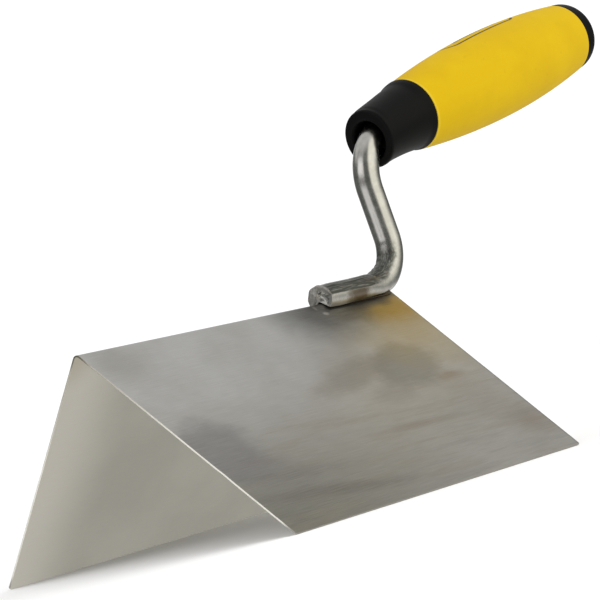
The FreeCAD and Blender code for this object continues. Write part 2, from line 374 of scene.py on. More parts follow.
def make_blade_inner():
    """Inner faces: the smoother mill finish of the sheet, a little warmer at the nose tip, with painted
    light making them much lighter towards the open nose end.
    """
    m = Shader("blade_inner")
    along, down = m.leg_place()
    flat = m.join(along, down)
    cloud = m.noise(flat, 0.03, 3.0, 0.5)
    fine = m.noise(m.scaled(flat, (0.2, 5.0, 1.0)), 1.0, 2.0, 0.5)
    # painted light: much lighter towards the open nose end, where light reaches in under the fold
    nose = m.step(along, 30.0, 3.0)
    colour = m.mix(m.step(cloud, 0.35, 0.65), (0.49, 0.48, 0.43), (0.545, 0.53, 0.48))
    colour = m.mix(m.times(nose, 0.85), colour, (0.80, 0.775, 0.72))
    tip = m.spot((along, m.math("ABSOLUTE", down)), (0.0, 0.0), (7.0, 8.0), 0.0, 0.8)
    colour = m.mix(m.times(tip, 0.6), colour, (0.55, 0.50, 0.38))
    heat = m.spot((along, m.math("ABSOLUTE", down)), (104.0, 0.0), (26.0, 12.0), 0.0, 0.6)
    colour = m.mix(m.times(heat, 0.6), colour, (0.36, 0.27, 0.14))
    grain = m.step(fine, 0.25, 0.75)
    colour = m.mix(0.08, colour, m.mix(grain, (0.4, 0.4, 0.38), (0.8, 0.79, 0.75)))
    steel_surface(m, m.add(m.times(grain, 0.06), 0.36), colour)
    m.feed(m.surface.inputs["Normal"], m.bump(fine, 0.00001, 0.4))
    return m.material


def make_cut_edge():
    """Sheared edge of the sheet: bright steel brightened further as a painted highlight, dimmed by painted
    shade towards the fold and dark right at it, and darker with painted shade along the free edges.
    """
    m = Shader("cut_edge")
    bite = m.noise(m.scaled(m.place, (900.0, 900.0, 900.0)), 1.0, 3.0, 0.6)
    depth = m.math("ABSOLUTE", m.leg_place()[1])
    free_edge_shade = m.step(depth, LEG_WIDTH - 6.0, LEG_WIDTH - 1.5)
    # painted highlight: a cream brighter than bare sheared steel, for the edge catching light
    colour = m.mix(bite, (0.86, 0.83, 0.72), (1.0, 0.98, 0.92))
    # painted shade: dimmer towards the fold, then dark right at it
    colour = m.mix(m.step(depth, 45.0, 8.0), colour, (0.50, 0.475, 0.41))
    colour = m.mix(m.step(depth, 7.0, 1.5), colour, (0.14, 0.13, 0.09))
    # painted shade: darker along the free edges, where they sit on the floor
    colour = m.mix(free_edge_shade, colour, (0.36, 0.345, 0.31))
    steel_surface(m, m.add(m.times(bite, 0.2), 0.25), colour)
    m.surface.inputs["Metallic"].default_value = 0.35
    m.feed(m.surface.inputs["Normal"], m.bump(bite, 0.00003, 0.5))
    return m.material


def make_bar_steel():
    """Drawn bar: polished, with fine lines, dark scale on the pressed foot and inside the lower bend."""
    m = Shader("bar_steel")
    x, y, z = m.split(m.place)
    along = m.add(m.times(x, 1 / MM), -NOSE_X)
    up = m.add(m.times(z, 1 / MM), -SHARP_LINE_Z)
    side = m.math("ABSOLUTE", m.times(y, 1 / MM))
    here = m.join(along, side, up)
    patches = m.noise(here, 0.35, 3.0, 0.6)
    pits = m.noise(here, 1.6, 4.0, 0.7)
    lines = m.noise(m.scaled(here, (0.22, 4.0, 1.0)), 1.0, 3.0, 0.6)
    rings = m.noise(m.scaled(here, (0.5, 0.5, 5.0)), 1.0, 3.0, 0.6)

    colour = m.mix(m.step(patches, 0.35, 0.65), (0.60, 0.59, 0.56), (0.70, 0.69, 0.655))
    # inside of the lower bend: nearer its centre than the bar's own axis
    bend_x, bend_z = LOWER_CENTRE
    dx, dz = m.add(along, -bend_x), m.add(up, -bend_z)
    inward = m.math("SQRT", m.add(m.times(dx, dx), m.times(dz, dz)))
    inward = m.add(inward, m.times(m.add(patches, -0.5), 2.0))
    in_bend = m.times(m.step(inward, LOWER_BEND - 0.6, LOWER_BEND - 2.2), m.step(along, 110.0, 114.0))
    in_bend = m.times(in_bend, m.step(up, 14.5, 9.5))
    crest = m.step(m.add(up, m.times(side, 0.95)), 5.4, 5.7)
    foot_top = m.times(m.times(m.step(along, 116.0, 111.0), crest),
                       m.step(along, FOOT_START + 0.7, FOOT_START + 1.6))
    scale = m.math("MAXIMUM", foot_top, in_bend)
    scale_tone = m.mix(m.step(lines, 0.46, 0.70), (0.085, 0.09, 0.08), (0.34, 0.34, 0.31))
    scale_tone = m.mix(m.times(m.step(pits, 0.60, 0.70), 0.6), scale_tone, (0.24, 0.15, 0.10))
    colour = m.mix(m.times(scale, 0.93), colour, scale_tone)
    brown = m.spot((along, up), (103.6, 0.2), (4.3, 3.2), 0.0, 0.45, m.times(m.add(patches, -0.5), 0.8))
    brown = m.times(m.times(brown, m.step(side, 2.0, 3.4)), m.math("SUBTRACT", 1.0, crest))
    colour = m.mix(m.times(brown, 0.85), colour, (0.16, 0.11, 0.07))
    under = m.times(m.step(up, -0.6, -2.2), m.step(along, 96.0, 103.0))
    colour = m.mix(m.times(m.times(under, m.step(along, 120.0, 113.0)), 0.75), colour, (0.09, 0.08, 0.055))
    square = m.add(along, m.times(m.times(y, 1 / MM), END_SKEW))
    end = m.times(m.step(square, FOOT_START + 0.45, FOOT_START + 0.30), m.step(up, 12.0, 10.0))
    torn = m.mix(m.step(pits, 0.3, 0.7), (0.36, 0.35, 0.32), (0.62, 0.60, 0.56))
    colour = m.mix(m.times(end, 0.85), colour, torn)
    rough = m.add(0.19, m.times(m.step(patches, 0.3, 0.7), 0.07))
    rough = m.add(rough, m.times(scale, 0.14))
    rough = m.add(rough, m.times(end, 0.30))
    steel_surface(m, rough, colour)
    wear = m.bump(pits, 0.00005, 0.35)
    m.feed(m.surface.inputs["Normal"], m.bump(rings, 0.00003, 0.3, wear))
    return m.material


def make_weld_metal():
    """Heat-darkened weld, rippled."""
    m = Shader("weld_metal")
    ripple = m.noise(m.scaled(m.place, (1500.0, 400.0, 400.0)), 1.0, 3.0, 0.6)
    burnt = m.mix(ripple, (0.06, 0.05, 0.045), (0.30, 0.24, 0.17))
    steel_surface(m, m.add(m.times(ripple, 0.3), 0.35), burnt)
    m.feed(m.surface.inputs["Normal"], m.bump(ripple, 0.0001, 0.7))
    return m.material


def make_hard_plastic():
    """Black satin moulding with a fine eroded grain."""
    m = Shader("hard_plastic")
    grain = m.noise(m.scaled(m.place, (2600.0, 2600.0, 2600.0)), 1.0, 2.0, 0.5)
    cloud = m.noise(m.scaled(m.place, (90.0, 90.0, 90.0)), 1.0, 3.0, 0.6)
    black = m.mix(cloud, (0.0020, 0.0020, 0.0021), (0.0034, 0.0034, 0.0035))
    m.feed(m.surface.inputs["Base Color"], black)
    m.feed(m.surface.inputs["Roughness"], m.add(m.times(cloud, 0.12), m.add(0.34, m.times(grain, 0.08))))
    m.surface.inputs["Specular IOR Level"].default_value = 0.12
    m.feed(m.surface.inputs["Normal"], m.bump(grain, 0.00004, 0.35))
    return m.material


def handle_place(m):
    """(mm along the handle's axis, angle round it from the top in radians, positive to +Y)."""
    x, y, z = m.split(m.place)
    dx = m.add(m.times(x, 1 / MM), -(NOSE_X + HANDLE_X))
    dz = m.add(m.times(z, 1 / MM), -(SHARP_LINE_Z + HANDLE_Z))
    along = m.add(m.times(dx, math.cos(TILT)), m.times(dz, math.sin(TILT)))
    over = m.add(m.times(dz, math.cos(TILT)), m.times(dx, -math.sin(TILT)))
    return along, m.math("ARCTAN2", m.times(y, 1 / MM), over)


def make_soft_grip():
    """Yellow soft moulding: fine grain, faint handling marks, a painted highlight along its front edge,
    and a plain printed badge outline on top.
    """
    m = Shader("soft_grip")
    along, turn = handle_place(m)
    grain = m.noise(m.scaled(m.place, (3200.0, 3200.0, 3200.0)), 1.0, 2.0, 0.5)
    cloud = m.noise(m.scaled(m.place, (60.0, 60.0, 60.0)), 1.0, 4.0, 0.6)
    colour = m.mix(m.step(cloud, 0.3, 0.7), (0.585, 0.378, 0.006), (0.625, 0.412, 0.007))
    speck = m.step(m.noise(m.scaled(m.place, (420.0, 420.0, 420.0)), 1.0, 2.0, 0.5), 0.66, 0.76)
    colour = m.mix(m.times(speck, 0.25), colour, (0.50, 0.30, 0.010))
    # painted highlight: a lighter band on the grip's rounded front edge beside the collar
    edge = m.step(along, COLLAR_END + 1.2, COLLAR_END + 0.3)
    colour = m.mix(m.times(edge, 0.35), colour, (0.78, 0.60, 0.07))
    # printed badge: an outlined lozenge with a bar in it, lying along the top
    badge_along = m.add(along, -BADGE_CENTRE)
    badge_across = m.times(turn, BELLY_RADIUS)
    reach = m.math("MAXIMUM", m.add(m.math("ABSOLUTE", badge_along), -BADGE_STRAIGHT), 0.0)
    far = m.math("SQRT", m.add(m.times(reach, reach), m.times(badge_across, badge_across)))
    outline = m.math("MULTIPLY", m.step(far, 4.2, 4.3), m.step(far, 5.2, 5.1))
    bar = m.times(m.step(m.math("ABSOLUTE", badge_across), 1.5, 1.4),
                  m.step(m.math("ABSOLUTE", badge_along), 12.1, 12.0))
    ink = m.math("MAXIMUM", outline, bar)
    colour = m.mix(m.times(ink, 0.93), colour, (0.028, 0.024, 0.018))
    m.feed(m.surface.inputs["Base Color"], colour)
    rough = m.add(0.50, m.times(m.step(cloud, 0.3, 0.7), 0.06))
    m.feed(m.surface.inputs["Roughness"], m.add(rough, m.times(ink, -0.12)))
    m.surface.inputs["Specular IOR Level"].default_value = 0.12
    m.surface.inputs["IOR"].default_value = 1.25
    height = m.add(m.times(grain, 0.5), m.times(cloud, 1.0))
    m.feed(m.surface.inputs["Normal"], m.bump(height, 0.00005, 0.30))
    return m.material


# ---------------------------------------------------------------- blade

def leg_section():
    """Stations across the sheet as (point on the outer face, outward normal, mm down from the fold)."""
    tangent = FOLD_RADIUS / math.tan(HALF_FOLD)
    edge_steps = [0.0, 0.05, 0.14, 0.28, 0.44, 0.62, 1.0, 1.8]
    downs = [LEG_WIDTH - step for step in edge_steps]
    count = 36
    for k in range(1, count + 1):
        downs.append(LEG_WIDTH - 1.8 - (LEG_WIDTH - 1.8 - tangent) * k / count)
    leg = []
    for down in downs:
        point = (down * math.sin(HALF_FOLD), -down * math.cos(HALF_FOLD))
        leg.append((point, (math.cos(HALF_FOLD), math.sin(HALF_FOLD)), down))
    centre = -FOLD_RADIUS / math.sin(HALF_FOLD)
    arc = []
    steps = 14
    for k in range(1, steps):
        turn = (math.pi / 2 - HALF_FOLD) * (1 - 2 * k / steps)
        normal = (math.sin(turn), math.cos(turn))
        arc.append(((FOLD_RADIUS * normal[0], centre + FOLD_RADIUS * normal[1]), normal, 0.0))
    mirrored = [((-p[0], p[1]), (-n[0], n[1]), d) for p, n, d in leg]
    return leg + arc + mirrored[::-1]


NICK_AT = 57.5              # small dent in the near cut edge, mm down from the fold
NICK_DEPTH = 0.22
CUT_SLANT = 0.14            # the shears leave the nose edges a little out of square


def make_blade(materials):
    """The folded sheet with its thickness, bevelled cut edges and rounded corners."""
    section = leg_section()
    columns = 72
    bevel = 0.05

    def sheet_point(station, share, inset, depth):
        (y, z), normal, down = station
        from_edge = LEG_WIDTH - down
        start = END_TRIM * abs(y) / HALF_WIDTH
        if from_edge < CORNER_RADIUS:
            short = CORNER_RADIUS - from_edge
            start += CORNER_RADIUS - math.sqrt(max(CORNER_RADIUS ** 2 - short ** 2, 0.0))
        nick = NICK_DEPTH * math.exp(-((down - NICK_AT) / 1.1) ** 2) if y < 0 else 0.0
        right_leg = smoothstep(1.5, -1.5, y)
        through_sheet = depth / SHEET
        slant = CUT_SLANT * (right_leg * (1 - through_sheet) + (1 - right_leg) * through_sheet)
        first = start + inset + slant + nick * (1 - share) ** 40
        last = RIDGE_LENGTH - start - inset
        x = first + (last - first) * share
        slide = inset * max(0.0, 1 - from_edge / 2.0)
        y -= math.copysign(slide * math.sin(HALF_FOLD), y) if slide else 0.0
        z += slide * math.cos(HALF_FOLD)
        return (x, y - depth * normal[0], z - depth * normal[1])

    shares = [smoothstep(-0.25, 1.25, k / columns) for k in range(columns + 1)]
    shares = [(s - shares[0]) / (shares[-1] - shares[0]) for s in shares]

    def edge_loop(grid):
        rows, cols = len(grid), len(grid[0])
        loop = [grid[r][0] for r in range(rows)]
        loop += [grid[rows - 1][c] for c in range(1, cols)]
        loop += [grid[r][cols - 1] for r in range(rows - 2, -1, -1)]
        loop += [grid[0][c] for c in range(cols - 2, 0, -1)]
        return loop

    skin = Skin()
    grids = []
    for depth, material in ((0.0, 0), (SHEET, 1)):
        grid = [skin.ring([sheet_point(s, share, bevel, depth) for share in shares]) for s in section]
        for first, second in zip(grid, grid[1:]):
            skin.bridge(first, second, material, closed=False)
        grids.append(grid)
    loops = [edge_loop(grids[0])]
    diagonal = bevel * (1 - math.sqrt(0.5))
    rim = ((diagonal, diagonal), (0.0, bevel), (0.0, SHEET - bevel), (diagonal, SHEET - diagonal))
    for inset, depth in rim:
        grid = [[sheet_point(s, share, inset, depth) for share in shares] for s in section]
        loops.append(skin.ring(edge_loop(grid)))
    loops.append(edge_loop(grids[1]))
    # the bevels look like the faces they run into, and only the middle strip is bare cut edge
    for first, second, material in zip(loops, loops[1:], (0, 0, 2, 1, 1)):
        skin.bridge(first, second, material)
    return skin.make("folded_blade", materials, sharp_angle=50.0)


# ---------------------------------------------------------------- shank

# The pressed foot along the fold, as (mm from the nose, height): its top, the crisp edge down each
# side, and the lower corner beside the groove.
FOOT_TOP = ((91, 4.5), (96, 4.75), (103, 4.78), (108, 4.9), (112, 5.1), (125, 5.1))
FOOT_EDGE = ((91, 1.0), (96.5, 1.02), (101.5, 1.27), (108.5, 1.67), (113, 2.05), (116, 2.9), (125, 3.6))
FOOT_LOWER = ((91, -2.4), (96, -2.5), (104, -2.2), (109, -1.9), (113, -1.7), (125, -1.2))
FOOT_HALF, LOWER_HALF = 4.8, 3.45
GROOVE_TOP = -0.2           # apex of the groove
END_SKEW = 0.19             # the front end isn't cut square


def shank_path():
    """Stations of the bar's centre line as (x, z, direction angle)."""
    lean_up = (-math.sin(LEAN), math.cos(LEAN))
    start = (FOOT_START, FOOT_HEIGHT)
    climb = (FOOT_HEIGHT - SHANK_Z) / lean_up[1]
    lower = (SHANK_X + lean_up[0] * climb, FOOT_HEIGHT)
    rise = (HANDLE_Z - SHANK_Z - (HANDLE_X - SHANK_X) * math.tan(TILT)) / (
        lean_up[1] - lean_up[0] * math.tan(TILT))
    upper = (SHANK_X + lean_up[0] * rise, SHANK_Z + lean_up[1] * rise)
    end = (HANDLE_X + TANG_END * math.cos(TILT), HANDLE_Z + TANG_END * math.sin(TILT))
    up_angle = math.pi / 2 + LEAN
    lower_reach = LOWER_BEND * math.tan(up_angle / 2)
    upper_reach = UPPER_BEND * math.tan((up_angle - TILT) / 2)
    stations = []

    def run(first, last, angle, step):
        length = math.dist(first, last)
        count = max(1, round(length / step))
        for k in range(count):
            t = k / count
            stations.append((first[0] + (last[0] - first[0]) * t,
                             first[1] + (last[1] - first[1]) * t, angle))

    def turn(centre, radius, first, last, side, step):
        count = max(6, round(abs(last - first) * radius / step))
        for k in range(count):
            angle = first + (last - first) * k / count
            stations.append((centre[0] + side * radius * math.sin(angle),
                             centre[1] - side * radius * math.cos(angle), angle))

    bend_in = (lower[0] - lower_reach, FOOT_HEIGHT)
    run(start, bend_in, 0.0, 0.55)
    turn((bend_in[0], FOOT_HEIGHT + LOWER_BEND), LOWER_BEND, 0.0, up_angle, 1, 0.5)
    bend_out = (lower[0] + lean_up[0] * lower_reach, FOOT_HEIGHT + lean_up[1] * lower_reach)
    top_in = (upper[0] - lean_up[0] * upper_reach, upper[1] - lean_up[1] * upper_reach)
    run(bend_out, top_in, up_angle, 0.8)
    centre = (top_in[0] + UPPER_BEND * math.sin(up_angle), top_in[1] - UPPER_BEND * math.cos(up_angle))
    turn(centre, UPPER_BEND, up_angle, TILT, -1, 0.6)
    top_out = (upper[0] + math.cos(TILT) * upper_reach, upper[1] + math.sin(TILT) * upper_reach)
    run(top_out, end, TILT, 3.0)
    stations.append((end[0], end[1], TILT))
    return stations


def along_foot(line, x):
    """Height of one of the foot's lines at x."""
    if x <= line[0][0]:
        return line[0][1]
    for (x0, z0), (x1, z1) in zip(line, line[1:]):
        if x <= x1:
            return z0 + (z1 - z0) * smoothstep(x0, x1, x)
    return line[-1][1]


def foot_half_section(x, count):
    """Right half of the pressed section, from the top round to the groove's apex, as (across, up)."""
    top, edge = along_foot(FOOT_TOP, x), along_foot(FOOT_EDGE, x)
    sag = top - edge
    half = FOOT_HALF - 0.5 * smoothstep(108, 118, x)
    top_radius = (half ** 2 + sag ** 2) / (2 * sag)
    swing = 2 * math.atan2(sag, half)
    points = []
    for k in range(count[0]):
        a = swing * k / count[0]
        points.append((top_radius * math.sin(a), top - top_radius + top_radius * math.cos(a)))
    corners = [(half, edge), (LOWER_HALF, along_foot(FOOT_LOWER, x)), (0.0, GROOVE_TOP)]
    for (first, last), steps, bulge in zip(zip(corners, corners[1:]), count[1:], (0.32, 0.0)):
        for k in range(steps):
            t = 0.5 - 0.5 * math.cos(math.pi * k / steps)
            points.append((first[0] + (last[0] - first[0]) * t + bulge * math.sin(math.pi * t),
                           first[1] + (last[1] - first[1]) * t))
    points.append(corners[-1])
    return points


def burr_share(y, z):
    """How much of the burr a point of the front rim has: it stands up at the upper right."""
    return smoothstep(0.6, 0.9, math.cos(math.atan2(-y, z - 1.0) - 0.75))


def make_shank(material):
    """Bar: pressed foot with a V groove, blending into the round bar in the lower bend, then the tang."""
    count = (30, 14, 12)
    corner = count[0]
    skin = Skin()
    rings = []
    for x, z, angle in shank_path():
        low = x < 130 and z < 16
        round_share = smoothstep(108.0, 122.0, x + z * 0.3) if low else 1.0
        half = foot_half_section(x, count)
        ring_half = []
        for k, (across, up) in enumerate(half):
            up -= FOOT_HEIGHT
            theta = math.atan2(across, up)
            press = 0.0
            if k < corner:
                press = 0.07 * math.sin(theta * 19.0 + 0.4 * math.sin(x * 0.6))
                press *= smoothstep(1.2, 0.8, theta) * smoothstep(0.0, 4.0, x - FOOT_START)
            a = across + press * math.sin(theta)
            u = up + press * math.cos(theta)
            a += (BAR_RADIUS * math.sin(theta) - a) * round_share
            u += (BAR_RADIUS * math.cos(theta) - u) * round_share
            inner = max(0.0, math.cos(theta)) ** 1.5
            knuckle = 0.5 * smoothstep(0.08, 0.38, angle) * smoothstep(1.0, 0.5, angle)
            wrinkle = 0.10 * math.sin(angle * 26.0)
            wrinkle *= smoothstep(0.10, 0.3, angle) * smoothstep(1.3, 0.9, angle)
            if low:
                u += (knuckle + wrinkle) * inner
            # the left half of the foot is pressed slimmer towards its front end
            ring_half.append((a, u, 1 - 0.24 * smoothstep(0.4, 1.2, theta) * smoothstep(104, 92, x)))
        last = len(half) - 1
        full = [(a, u) for a, u, _ in ring_half]
        full += [(-a * slim, u) for a, u, slim in ring_half[last - 1:0:-1]]
        skew = END_SKEW * smoothstep(FOOT_START + 6.0, FOOT_START, x)
        front = x + 0.2 * skew / END_SKEW
        rings.append([(front - u * math.sin(angle) + skew * a, -a, z + u * math.cos(angle))
                      for a, u in full])

    # front end: chamfered rim, then rings drawn in towards the middle of the torn face
    middle = (0.0, 1.75)
    first = rings[0]
    rim = 0.16
    cap = []
    for share in (0.0, 0.12, 0.25, 0.4, 0.55, 0.7, 0.85, 0.95):
        ring = []
        for k, (x, y, z) in enumerate(first):
            dy, dz = middle[0] - y, middle[1] - z
            far = math.hypot(dy, dz)
            pull = min(rim / far, 0.5) + (1 - min(rim / far, 0.5)) * share
            py, pz = y + dy * pull, z + dz * pull
            rough = 0.05 * math.sin(py * 4.1 + 1.0) * math.sin(pz * 3.7)
            rough += 0.03 * math.sin(py * 9.0 + pz * 7.0)
            facet = 0.55 * smoothstep(1.7, 0.2, math.hypot(py + 1.5, pz + 0.2))
            facet *= smoothstep(0.0, -0.5, py)
            burr = 0.30 * burr_share(py, pz) * (1 - share) ** 3
            inset = share > 0
            relief = (rough + facet) * inset * smoothstep(0, 0.2, share)
            ring.append((x + relief - burr * (1 if inset else 0.6), py, pz))
        cap.append(ring)
    burred = []
    for x, y, z in first:
        lift = 0.28 * burr_share(y, z)
        far = math.hypot(y, z - 1.0)
        burred.append((x + rim, y * (1 + lift / far), 1.0 + (z - 1.0) * (1 + lift / far)))
    rings[0] = burred
    made = [skin.ring(r) for r in cap[::-1]] + [skin.ring(r) for r in rings]
    for a, b in zip(made, made[1:]):
        skin.bridge(a, b)
    centre_x = sum(x for x, _, _ in cap[-1]) / len(first)
    skin.fan(made[0], (centre_x, middle[0], middle[1]))
    skin.fan(made[-1], axis_point(TANG_END), flip=True)
    return skin.make("bent_bar", [material], sharp_angle=32.0)


# ---------------------------------------------------------------- weld beads

BEAD_ACROSS = 2.35          # middle of each bead, from the fold's plane of symmetry
BEAD_HEIGHT = -BEAD_ACROSS * 0.84 - 0.12


def make_bead(name, side, material):
    """Rippled bead in the wedge between the groove's flank and the blade."""
    start, end = FOOT_START + 1.0, RIDGE_LENGTH - 1.2
    steps = 90
    around = 12
    skin = Skin()
    rings = []
    for k in range(steps + 1):
        x = start + (end - start) * k / steps
        swell = 0.52 + 0.06 * math.sin(x * 5.2 + side) + 0.04 * math.sin(x * 1.7 + 2 * side)
        swell *= 0.35 + 0.65 * smoothstep(0, 3, min(k, steps - k))
        rings.append(skin.ring([
            (x, side * BEAD_ACROSS + 1.15 * swell * math.cos(2 * math.pi * i / around),
             BEAD_HEIGHT + 0.62 * swell * math.sin(2 * math.pi * i / around)) for i in range(around)]))
    for first, second in zip(rings, rings[1:]):
        skin.bridge(first, second)
    for ring, x, flip in ((rings[0], start - 0.15, False), (rings[-1], end + 0.15, True)):
        skin.fan(ring, (x, side * BEAD_ACROSS, BEAD_HEIGHT), flip=flip)
    return skin.make(name, [material])


# ---------------------------------------------------------------- handle

def round_ring(along, radius, drop=0.0):
    """Circle round the handle's axis, its centre drop below the axis."""
    points = []
    for k in range(AROUND):
        a = 2 * math.pi * k / AROUND
        over = radius * math.cos(a) - drop
        points.append((HANDLE_X + along * math.cos(TILT) - over * math.sin(TILT),
                       radius * math.sin(a),
                       HANDLE_Z + along * math.sin(TILT) + over * math.cos(TILT)))
    return points


def axis_point(along):
    return (HANDLE_X + along * math.cos(TILT), 0.0, HANDLE_Z + along * math.sin(TILT))


def quarter(centre, radius, first, last, steps=6):
    """Points of an arc in the (along, radius) plane, angles in degrees."""
    points = []
    for k in range(steps + 1):
        a = math.radians(first + (last - first) * k / steps)
        points.append((centre[0] + radius * math.cos(a), centre[1] + radius * math.sin(a)))
    return points


COLLAR = (                  # sections of the front collar: along, radius, drop
    (0.0, 9.2, 1.15),
    (5.2, 9.4, 0.6),
    (9.4, 9.7, 0.3),
    (13.6, 10.1, 0.05),
    (17.8, 10.6, -0.1),
    (19.6, 11.0, -0.3),
    (21.4, 11.5, -0.1),
)
FRONT_ROUND = 0.9
MOUTH_RADIUS, MOUTH_DEPTH = 6.5, 0.8
RECESS_RADIUS, RECESS_DEPTH, RECESS_DROP = 5.9, 9.5, 1.6


def through(sections, along):
    """Smooth curve through the sections (a cubic with averaged slopes)."""
    k = 0
    while k < len(sections) - 2 and along > sections[k + 1][0]:
        k += 1
    first, last = sections[k], sections[k + 1]
    width = last[0] - first[0]
    t = (along - first[0]) / width
    values = []
    for column in (1, 2):
        def slope(i):
            low, high = max(i - 1, 0), min(i + 1, len(sections) - 1)
            rise = sections[high][column] - sections[low][column]
            return rise / (sections[high][0] - sections[low][0])
        m0, m1 = slope(k) * width, slope(k + 1) * width
        p0, p1 = first[column], last[column]
        values.append((2 * t ** 3 - 3 * t ** 2 + 1) * p0 + (t ** 3 - 2 * t ** 2 + t) * m0
                      + (-2 * t ** 3 + 3 * t ** 2) * p1 + (t ** 3 - t ** 2) * m1)
    return values


def make_handle_core(material):
    """Front collar with its lip, mouth and recess, and the core that runs back under the grip."""
    skin = Skin()
    bore = BAR_RADIUS + SLIP
    profile = [(TANG_END + 0.1, bore, 0.0), (RECESS_DEPTH + 0.3, bore, 0.0),
               (RECESS_DEPTH, bore + 0.3, 0.2),
               (RECESS_DEPTH, RECESS_RADIUS - 0.5, RECESS_DROP)]
    profile += [(RECESS_DEPTH - 0.4, RECESS_RADIUS, RECESS_DROP)]
    profile += [(a, RECESS_RADIUS, RECESS_DROP) for a in (6.0, 3.0, MOUTH_DEPTH + 0.25)]
    profile += [(MOUTH_DEPTH, RECESS_RADIUS + 0.06, RECESS_DROP), (0.1, MOUTH_RADIUS - 0.08, RECESS_DROP),
                (0.0, MOUTH_RADIUS + 0.08, RECESS_DROP)]
    front_radius, front_drop = COLLAR[0][1], COLLAR[0][2]
    inner_face = front_radius - FRONT_ROUND
    profile += [(0.0, MOUTH_RADIUS + 0.45, RECESS_DROP - 0.12), (0.0, inner_face - 0.12, front_drop)]
    for along, radius in quarter((FRONT_ROUND, inner_face), FRONT_ROUND, 180, 90, 8):
        profile.append((along, radius, front_drop))
    steps = 44
    for k in range(1, steps + 1):
        along = FRONT_ROUND + (COLLAR_END - 0.3 - FRONT_ROUND) * k / steps
        radius, drop = through(COLLAR, along)
        share = smoothstep(FRONT_ROUND, FRONT_ROUND + 2.0, along)
        profile.append((along, front_radius + (radius - front_radius) * share,
                        front_drop + (drop - front_drop) * share))
    last_radius, last_drop = through(COLLAR, COLLAR_END - 0.3)
    for along, radius in quarter((COLLAR_END - 0.3, last_radius - 0.3), 0.3, 80, 0, 4):
        profile.append((along, radius, last_drop))
    core = CORE_RADIUS - 0.03
    profile += [(COLLAR_END - SLIP, CORE_RADIUS + 0.5, 0.0), (COLLAR_END - SLIP, core, 0.0)]
    profile += [(a, core, 0.0) for a in (45.0, 75.0, CAP_START - SLIP)]
    profile += [(CAP_START - SLIP, SOCKET_RADIUS + SLIP, 0.0), (SOCKET_START, SOCKET_RADIUS + SLIP, 0.0)]
    rings = [skin.ring(round_ring(*p)) for p in profile]
    for first, second in zip(rings, rings[1:]):
        skin.bridge(first, second)
    skin.fan(rings[0], axis_point(TANG_END + 0.1))
    skin.fan(rings[-1], axis_point(SOCKET_START), flip=True)
    return skin.make("front_collar_and_core", [material], sharp_angle=45.0)


def barrel(along):
    """Radius of the grip and the end cap: two arcs, level at the belly."""
    if along < BELLY:
        drop, reach = BELLY_RADIUS - GRIP_FRONT_RADIUS, BELLY - COLLAR_END
    else:
        drop, reach = BELLY_RADIUS - REAR_RADIUS, HANDLE_LENGTH - BELLY
    radius = (reach ** 2 + drop ** 2) / (2 * drop)
    return BELLY_RADIUS - radius + math.sqrt(radius ** 2 - (BELLY - along) ** 2)


def make_grip(material):
    """Soft sleeve with rounded ends."""
    skin = Skin()
    edge = 0.45
    front, rear = COLLAR_END + 0.03, CAP_START - 0.03
    profile = [(front, CORE_RADIUS + 0.02)]
    profile += quarter((front + edge, barrel(front + edge) - edge), edge, 180, 95, 6)
    steps = 90
    for k in range(steps + 1):
        along = front + edge + (rear - front - 2 * edge) * k / steps
        profile.append((along, barrel(along)))
    profile += quarter((rear - edge, barrel(rear - edge) - edge), edge, 85, 0, 6)
    profile += [(rear, CORE_RADIUS + 0.02)]
    rings = [skin.ring(round_ring(*p)) for p in profile]
    for first, second in zip(rings, rings[1:] + rings[:1]):
        skin.bridge(first, second)
    return skin.make("soft_grip_sleeve", [material], sharp_angle=60.0)


def make_cap(material):
    """Rounded end cap with its plug."""
    skin = Skin()
    front = CAP_START + 0.02
    round_radius, crown = 6.0, 0.5
    shoulder = HANDLE_LENGTH - crown - round_radius
    shoulder_radius = barrel(shoulder)
    profile = [(SOCKET_START + 0.6, SOCKET_RADIUS - 0.03), (front, SOCKET_RADIUS - 0.03),
               (front, barrel(front) - 0.5)]
    profile += quarter((front + 0.3, barrel(front + 0.3) - 0.35), 0.3, 180, 95, 5)
    profile += [(a, barrel(a)) for a in (front + 0.9, shoulder)]
    profile += quarter((shoulder, shoulder_radius - round_radius), round_radius, 84, 6, 14)
    flat = shoulder_radius - round_radius
    for k in range(1, 5):
        t = k / 5
        profile.append((HANDLE_LENGTH - crown + crown * (1 - (1 - t) ** 2), flat * (1 - t)))
    rings = [skin.ring(round_ring(*p)) for p in profile]
    for first, second in zip(rings, rings[1:]):
        skin.bridge(first, second)
    skin.fan(rings[0], axis_point(SOCKET_START + 0.6))
    skin.fan(rings[-1], axis_point(HANDLE_LENGTH), flip=True)
    return skin.make("rear_cap", [material], sharp_angle=50.0)


# ---------------------------------------------------------------- assembly

bar_steel = make_bar_steel()
weld_metal = make_weld_metal()
hard_plastic = make_hard_plastic()
soft_grip = make_soft_grip()
fix(make_blade([make_blade_outer(), make_blade_inner(), make_cut_edge()]), "blade")
fix(make_shank(bar_steel), "shank")
fix(make_bead("weld_left", 1, weld_metal), "weld_bead_left")
fix(make_bead("weld_right", -1, weld_metal), "weld_bead_right")
fix(make_handle_core(hard_plastic), "handle_core")
fix(make_grip(soft_grip), "grip_sleeve")
fix(make_cap(hard_plastic), "end_cap")


# ---------------------------------------------------------------- floor, light and camera

